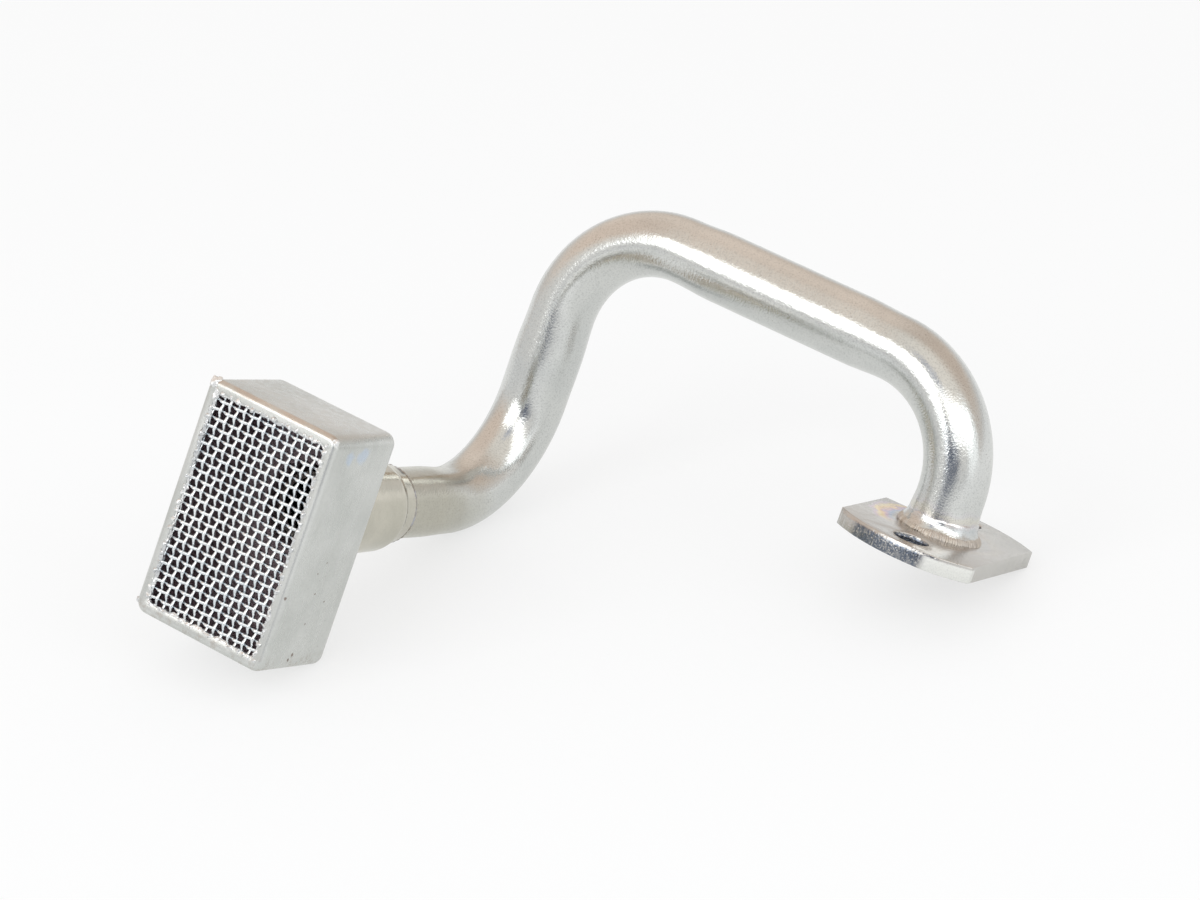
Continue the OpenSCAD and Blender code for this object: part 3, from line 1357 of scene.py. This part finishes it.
@dataclass(kw_only=True)
class CrimpBead(SubAssembly):
    """The rough bright seam where the screen's cut edge meets the rim."""

    finish: PlatedSteel = SOLDER_FINISH
    width: float = 24.2
    height: float = 39.2
    corner: float = 1.3
    thick: float = 0.45
    depth: float = 0.42
    end_depth: float = 0.14
    lower_depth: float = 0.46
    end_size: float = 0.42
    end_change: float = 0.11
    lump_size: float = 0.8
    lump_height: float = 1.0
    long_edge: float = 1.2
    burrs: tuple[Spot, ...] = (((-12.9, 0.9, 20.7), 1.15), ((-13.6, 0.9, -19.9), 0.75),
                               ((13.1, 0.5, 20.5), 0.6))

    def wire_ends(self) -> list[Spot]:
        """Lists the crimped wire ends along the seam.

        Returns:
            Their places from the middle of the rim and their radii, in millimetres.
        """
        ends = []
        for count, across, upright in ((LAYOUT.mesh_columns, 0.0, self.height / 2),
                                       (LAYOUT.mesh_rows, self.width / 2, 0.0)):
            for i in range(count):
                along = (i - (count - 1) / 2) * LAYOUT.mesh_pitch
                for side in (-1, 1):
                    uneven = math.sin(2.4 * i + 1.7 * side)
                    x = side * across if across else along
                    z = side * upright if upright else along
                    low = z < -0.95 * self.height / 2
                    ends.append(((x, self.lower_depth if low else self.end_depth, z),
                                 self.end_size + self.end_change * uneven))
        return ends

    def lumps(self, name: str, spots: list[Spot], fineness: int) -> list[Piece]:
        """Models one lump and copies it to every place.

        Args:
            name: Name of the lumps.
            spots: Places from the middle of the rim and radii, in millimetres.
            fineness: How finely the lump is divided.

        Returns:
            The lumps.
        """
        clear_selection()
        bpy.ops.mesh.primitive_ico_sphere_add(subdivisions=fineness, radius=MM)
        found = [started(name)]
        found += [copied(found[0], name) for _ in spots[1:]]
        for lump, (at, radius) in zip(found, spots):
            lump.location = (RIM_MIDDLE + Vector(at)) * MM
            lump.scale = (radius, radius, radius)
        return found

    def loop(self) -> Piece:
        """Models the seam as a round bead in a closed loop.

        Returns:
            The bead.
        """
        clear_selection()
        at = (RIM_MIDDLE + Vector((0, self.depth, 0))) * MM
        bpy.ops.mesh.primitive_plane_add(size=MM, location=tuple(at), rotation=(math.pi / 2, 0, 0))
        seam = started("screen_crimp_seam")
        seam.scale = (self.width, self.height, 1.0)
        settle()
        with editing(seam):
            bpy.ops.mesh.select_all(action="SELECT")
            bpy.ops.mesh.bevel(offset=self.corner * MM, segments=6, affect="VERTICES")
            bpy.ops.mesh.delete(type="ONLY_FACE")
            bpy.ops.mesh.select_all(action="SELECT")
            bpy.ops.mesh.subdivide(number_cuts=5)
            pick(seam, Part.EDGE, lambda edge: edge.calc_length() > self.long_edge * MM)
            bpy.ops.mesh.subdivide(number_cuts=12)
        take(seam)
        bpy.ops.object.convert(target="CURVE")
        seam.data.bevel_depth = self.thick * MM
        seam.data.bevel_resolution = 2
        bpy.ops.object.convert(target="MESH")
        outward(seam)
        return seam

    def build(self) -> Piece:
        """Models the seam with its wire ends and burrs, and makes it rough.

        Returns:
            The seam.
        """
        pieces = [self.loop()]
        pieces += self.lumps("corner_burr", list(self.burrs), 4)
        pieces += self.lumps("wire_end", self.wire_ends(), 2)
        seam = join(pieces, "screen_crimp_seam")
        roughen(seam, "seam_lumps", self.lump_size, self.lump_height)
        return lay_down(seam, 50.0)


@dataclass(kw_only=True)
class BoltedFlange(SubAssembly):
    """The blanked plate with two bolt holes, a notch and a bore for the tube."""

    finish: PlatedSteel = FLANGE_FINISH
    nodes: tuple[str, ...] = ("mounting_flange",)
    plate: float = LAYOUT.plate
    width: float = 26.6
    end: float = 22.0
    offset: float = 2.5
    lead: float = 1.0
    turn: float = LAYOUT.flange_turn
    circle: float = LAYOUT.bolt_circle
    hole: float = 6.4
    hole_turn: float = LAYOUT.bolt_turn
    notch: float = 5.5
    notch_start: float = 7.1
    bore: float = LAYOUT.tube / 2 + LAYOUT.clear
    spare: float = 1.0
    edge_break: float = 0.14

    def disc(self, name: str, radius: float, x: float, y: float, spare: float = 0.0) -> Piece:
        """Adds a round blank or punch through the plate.

        Args:
            name: Name of the blank.
            radius: Radius in millimetres.
            x: Place of its axis, in millimetres.
            y: Place of its axis, in millimetres.
            spare: How far it stands out above and below the plate, in millimetres.

        Returns:
            The blank.
        """
        clear_selection()
        bpy.ops.mesh.primitive_cylinder_add(vertices=160 if radius > 10 else 64, radius=radius * MM,
                                            depth=(self.plate + 2 * spare) * MM,
                                            location=(x * MM, y * MM, -self.plate / 2 * MM))
        blank = started(name)
        settle()
        return blank

    def notch_punch(self) -> Piece:
        """Models the square punch that takes off a back corner.

        Returns:
            The punch.
        """
        clear_selection()
        wide, reach = self.notch + self.spare, self.end
        bpy.ops.mesh.primitive_cube_add(size=MM, location=(
            (-self.width / 2 - self.spare + wide / 2) * MM,
            (self.notch_start + reach / 2) * MM, -self.plate / 2 * MM))
        punch = started("notch_punch")
        punch.scale = (wide, reach, self.plate + 2 * self.spare)
        settle()
        return punch

    def build(self) -> Piece:
        """Blanks, punches and breaks the edges of the plate.

        Returns:
            The plate.
        """
        plate = self.disc("mounting_flange_plate", self.end, self.offset, self.lead)
        half = self.width / 2 * MM
        with editing(plate):
            for side in (-1, 1):
                bpy.ops.mesh.select_all(action="SELECT")
                bpy.ops.mesh.bisect(plane_co=(side * half, 0, 0), plane_no=(side, 0, 0),
                                    use_fill=True, clear_outer=True)
        combine(plate, self.disc("second_end", self.end, -self.offset, -self.lead, self.spare),
                Merge.SHARE)
        combine(plate, self.notch_punch(), Merge.CUT)
        combine(plate, self.disc("bore", self.bore, 0, 0, self.spare), Merge.CUT)
        for side in (-90.0, 90.0):
            a, far = math.radians(self.hole_turn + side), self.circle / 2
            combine(plate, self.disc("bolt_punch", self.hole / 2, far * math.cos(a),
                                     far * math.sin(a), self.spare), Merge.CUT)
        finish_with(plate, "BEVEL", width=self.edge_break * MM, segments=3, limit_method="ANGLE",
                    angle_limit=math.radians(40.0), harden_normals=False)
        plate.rotation_euler = (0.0, 0.0, math.radians(self.turn))
        return lay_down(plate, 30.0)


@dataclass(kw_only=True)
class RippledBead(SubAssembly):
    """A weld or braze bead, laid as overlapping drops round a tube."""

    name: str
    place: Matrix
    ring: float
    drop: Triple
    height: float
    slope: float
    lean: float
    count: int
    thin: float = 0.0
    thin_side: float = math.radians(-149.0)
    voxel: float = 0.085

    def swell(self, turn: float) -> float:
        """Gives the size of the drop at an angle, in radians, as a share."""
        uneven = 0.06 * math.sin(5 * turn + 1.0) + 0.07 * math.sin(13 * turn) * math.sin(3 * turn)
        return 1.0 + uneven - self.thin * (1 + math.cos(turn - self.thin_side)) / 2

    def build(self) -> Piece:
        """Models one drop, copies it round the ring and melts the drops together.

        Returns:
            The bead.
        """
        clear_selection()
        bpy.ops.mesh.primitive_uv_sphere_add(segments=16, ring_count=10, radius=MM)
        drops = [started("drop")]
        drops += [copied(drops[0], "drop") for _ in range(1, self.count)]
        tilt = Matrix.Rotation(self.slope, 3, "Y") @ Matrix.Rotation(self.lean, 3, "X")
        for i, drop in enumerate(drops):
            a = 2 * math.pi * i / self.count
            drop.scale = tuple(v * self.swell(a) for v in self.drop)
            drop.rotation_euler = (Matrix.Rotation(a, 3, "Z") @ tilt).to_euler()
            drop.location = Vector((self.ring * math.cos(a), self.ring * math.sin(a),
                                    self.height)) * MM
        bead = join(drops, self.name)
        finish_with(bead, "REMESH", mode="VOXEL", voxel_size=self.voxel * MM)
        finish_with(bead, "SMOOTH", factor=0.5, iterations=3)
        bead.matrix_world = self.place
        return lay_down(bead, 60.0)


@dataclass(kw_only=True)
class WeldWash(SubAssembly):
    """The smooth run of metal where the weld feathers out up the tube."""

    finish: PlatedSteel = TUBE_FINISH
    profile: tuple[tuple[float, float], ...] = (
        (0.5, 7.3), (0.85, 7.15), (1.15, 6.94), (1.55, 6.71), (2.05, 6.54), (2.6, 6.42),
        (3.1, 6.33), (3.4, 6.0))
    off_middle: tuple[float, float] = (0.1, 0.06)
    sheet: float = 0.2
    wave_size: float = 3.0
    wave_height: float = 0.25
    points: int = 128

    def build(self) -> Piece:
        """Models the run as a thin flared collar.

        Returns:
            The collar.
        """
        clear_selection()
        height, radius = self.profile[0]
        at = Vector((*self.off_middle, height)) * MM
        bpy.ops.mesh.primitive_circle_add(vertices=self.points, radius=radius * MM,
                                          location=tuple(at))
        wash = started("flange_weld_wash")
        settle()
        with editing(wash):
            bpy.ops.mesh.select_all(action="SELECT")
            for up, wide in self.profile[1:]:
                push((0.0, 0.0, (up - height) * MM))
                scale_ring((wide / radius, wide / radius, 1.0),
                           Vector((*self.off_middle, up)) * MM)
                height, radius = up, wide
        outward(wash)
        roughen(wash, "wash_waves", self.wave_size, self.wave_height)
        finish_with(wash, "SOLIDIFY", thickness=self.sheet * MM, offset=-1.0)
        return lay_down(wash, 60.0)


@dataclass(frozen=True)
class RoomPatch:
    """An oval patch of the room that the metal reflects, its angles in degrees."""

    turn: float
    rise: float
    half: tuple[float, float]
    colour: Triple
    soft: float = 0.4

    def mask(self, net: NodeNet, way: Socket) -> Socket:
        """Masks the patch.

        Args:
            net: The world's net.
            way: Direction that is looked in.

        Returns:
            The mask.
        """
        wide, tall = (math.sin(math.radians(v)) for v in self.half)
        near = net.add("ShaderNodeMapping", vector_type="TEXTURE", Vector=way,
                       Rotation=(0.0, math.radians(-self.rise), math.radians(self.turn)),
                       Scale=(1.0, wide, tall)).outputs[0]
        far = net.off_line(near, (0.0, 0.0, 0.0), (0.0, 1.0, 1.0))
        edge = net.spread(far, 1 - self.soft, 1 + self.soft, 1.0, 0.0)
        return net.times(edge, net.spread(net.parts(near)[0], 0.0, 0.1))


@dataclass(frozen=True)
class WindowLamp:
    """A soft rectangular lamp that faces the part, in metres, watts and degrees."""

    name: str
    way: Triple
    size: tuple[float, float]
    power: float
    roll: float
    far: float = 1.3
    colour: Triple = (0.97, 0.99, 1.0)
    aim: Triple = (0.0, 0.0, 0.03)

    def hang(self) -> None:
        """Adds the lamp."""
        data = bpy.data.lights.new(self.name, "AREA")
        data.shape = "RECTANGLE"
        data.size, data.size_y = self.size
        data.energy = self.power
        data.color = self.colour
        lamp = bpy.data.objects.new(self.name, data)
        direction = Vector(self.way).normalized()
        lamp.location = direction * self.far + Vector(self.aim)
        facing = direction.to_track_quat("Z", "Y").to_matrix()
        lamp.rotation_euler = (facing @ Matrix.Rotation(math.radians(self.roll), 3, "Z")).to_euler()
        bpy.context.scene.collection.objects.link(lamp)


@dataclass
class Studio:
    """Floor, lamps, sky and the camera at the photograph's place."""

    eye: Triple = (0.474885, -0.615823, 0.39501)
    aim: Triple = (64.9525, 2.8308, 36.3417)
    lens: float = 150.0
    sensor: float = 36.0
    near_clip: float = 0.01
    white: Triple = (1.0, 1.0, 1.0)
    horizon: Triple = (0.78, 0.785, 0.785)
    zenith: Triple = (0.95, 0.89, 0.81)
    even_light: Triple = (0.80, 0.805, 0.81)
    floor_colours: tuple[Triple, Triple] = ((0.925, 0.922, 0.92), (0.95, 0.95, 0.95))
    # Painted shadow in reflections: the floor's glow seen by glossy rays is darker near the part.
    mirrored_floor_with_shadow: tuple[Triple, Triple] = ((0.84, 0.845, 0.815), (1.0, 1.0, 0.98))
    floor_size: float = 8.0
    floor_rough: float = 0.6
    floor_gloss: float = 0.2
    shaded_floor: tuple[float, float] = (60.0, 160.0)
    seen_white: float = 0.64
    mirrored_white: float = 0.66
    patches: tuple[RoomPatch, ...] = (
        RoomPatch(100.0, 46.0, (66.0, 31.0), (0.70, 0.585, 0.495)),
        RoomPatch(146.0, 46.0, (32.0, 27.0), (0.93, 0.79, 0.68)),
        RoomPatch(-172.0, 45.0, (30.0, 28.0), (0.86, 0.71, 0.60)),
        RoomPatch(4.0, 14.0, (18.0, 26.0), (1.25, 1.27, 1.26)),
        RoomPatch(-72.0, 57.0, (9.0, 11.0), (0.60, 0.61, 0.66)),
        RoomPatch(-73.0, 19.0, (25.0, 10.0), (0.14, 0.16, 0.215)))
    lamps: tuple[WindowLamp, ...] = (
        WindowLamp("left_window", (-0.190, -0.784, 0.592), (0.78, 0.74), 3.6, 0.0),
        WindowLamp("right_window", (0.715, -0.378, 0.588), (1.85, 0.54), 4.0, -12.0))

    def camera(self) -> None:
        """Sets up the camera."""
        data = bpy.data.cameras.new("view")
        data.lens = self.lens
        data.sensor_width = self.sensor
        data.sensor_fit = "HORIZONTAL"
        data.clip_start = self.near_clip
        view = bpy.data.objects.new("view", data)
        view.location = self.eye
        view.rotation_euler = Euler(tuple(math.radians(v) for v in self.aim))
        bpy.context.scene.collection.objects.link(view)
        bpy.context.scene.camera = view

    def sky(self) -> None:
        """Lights the scene from a pale room: warm walls behind, a dim side before the part."""
        world = bpy.data.worlds.new("pale_room")
        bpy.context.scene.world = world
        world.use_nodes = True
        net = NodeNet(world.node_tree)
        ground = world.node_tree.nodes["Background"]
        way = net.add("ShaderNodeTexCoord").outputs["Generated"]
        shown = net.blend(net.spread(net.parts(way)[2], -0.1, 0.85), self.horizon, self.zenith)
        for patch in self.patches:
            shown = net.blend(patch.mask(net, way), shown, patch.colour)
        path = net.add("ShaderNodeLightPath")
        light = net.blend(path.outputs["Is Glossy Ray"], self.even_light, shown)
        net.feed(ground.inputs["Color"],
                 net.blend(path.outputs["Is Camera Ray"], light, self.white))
        ground.inputs["Strength"].default_value = 1.0

    def floor(self) -> None:
        """Lays the pale floor, which glows white to the camera and, to glossy rays, with a painted
        shadow darker near the part.
        """
        clear_selection()
        bpy.ops.mesh.primitive_plane_add(size=self.floor_size, location=(0.0, 0.0, 0.0))
        floor = started("floor")
        material = bpy.data.materials.new("pale_floor")
        material.use_nodes = True
        net = NodeNet(material.node_tree)
        shader = material.node_tree.nodes["Principled BSDF"]
        place = net.add("ShaderNodeTexCoord").outputs["Object"]
        net.feed(shader.inputs["Base Color"],
                 net.blend(net.noise(place, 9.0, 5.0, 0.6), *self.floor_colours))
        shader.inputs["Roughness"].default_value = self.floor_rough
        shader.inputs["Specular IOR Level"].default_value = self.floor_gloss
        away = net.off_line(place, (0.0, 0.0, 0.0), (1.0, 1.0, 1.0))
        # Painted shadow: the mirrored glow is darker within the shaded_floor reach of the part.
        tone = net.blend(net.over(away, *self.shaded_floor), *self.mirrored_floor_with_shadow)
        path = net.add("ShaderNodeLightPath")
        seen, mirrored = path.outputs["Is Camera Ray"], path.outputs["Is Glossy Ray"]
        white = net.add("ShaderNodeEmission", Color=net.blend(seen, tone, self.white))
        share = net.math("MAXIMUM", net.times(seen, self.seen_white),
                         net.times(mirrored, self.mirrored_white))
        lit = net.add("ShaderNodeMixShader", in_0=share, in_1=shader.outputs[0],
                      in_2=white.outputs[0])
        net.feed(material.node_tree.nodes["Material Output"].inputs[0], lit.outputs[0])
        floor.data.materials.append(material)

    def build(self) -> None:
        """Sets up everything round the part."""
        self.floor()
        self.sky()
        self.camera()
        for lamp in self.lamps:
            lamp.hang()


def main() -> None:
    """Builds and dresses the part, then the studio."""
    logging.basicConfig(level=logging.INFO, format="%(name)s: %(message)s")
    scene = bpy.context.scene
    scene.view_settings.view_transform = "Standard"
    effects = SharedEffects()
    flange_weld = RippledBead(
        name="flange_weld_bead", finish=WELD_FINISH, nodes=("flange_weld",),
        place=Matrix.Identity(4), ring=6.88, drop=(1.4, 0.62, 0.62), height=0.5,
        slope=math.radians(42.0), lean=0.5, count=80, thin=0.3)
    neck_braze = RippledBead(
        name="neck_braze_bead", finish=BRAZE_FINISH, nodes=("neck_braze",),
        place=Matrix.Translation(NECK_END * MM) @ Matrix.Rotation(-math.pi / 2, 4, "X"),
        ring=6.68, drop=(0.58, 0.75, 0.62), height=0.05, slope=0.0, lean=0.2, count=44)
    for assembly in (StrainerHousing(), WovenScreen(), CrimpBead(), TubeRun(), BoltedFlange(),
                     flange_weld, WeldWash(), neck_braze):
        assembly.dress(assembly.build(), effects)
    Studio().build()


if __name__ == "__main__":
    main()
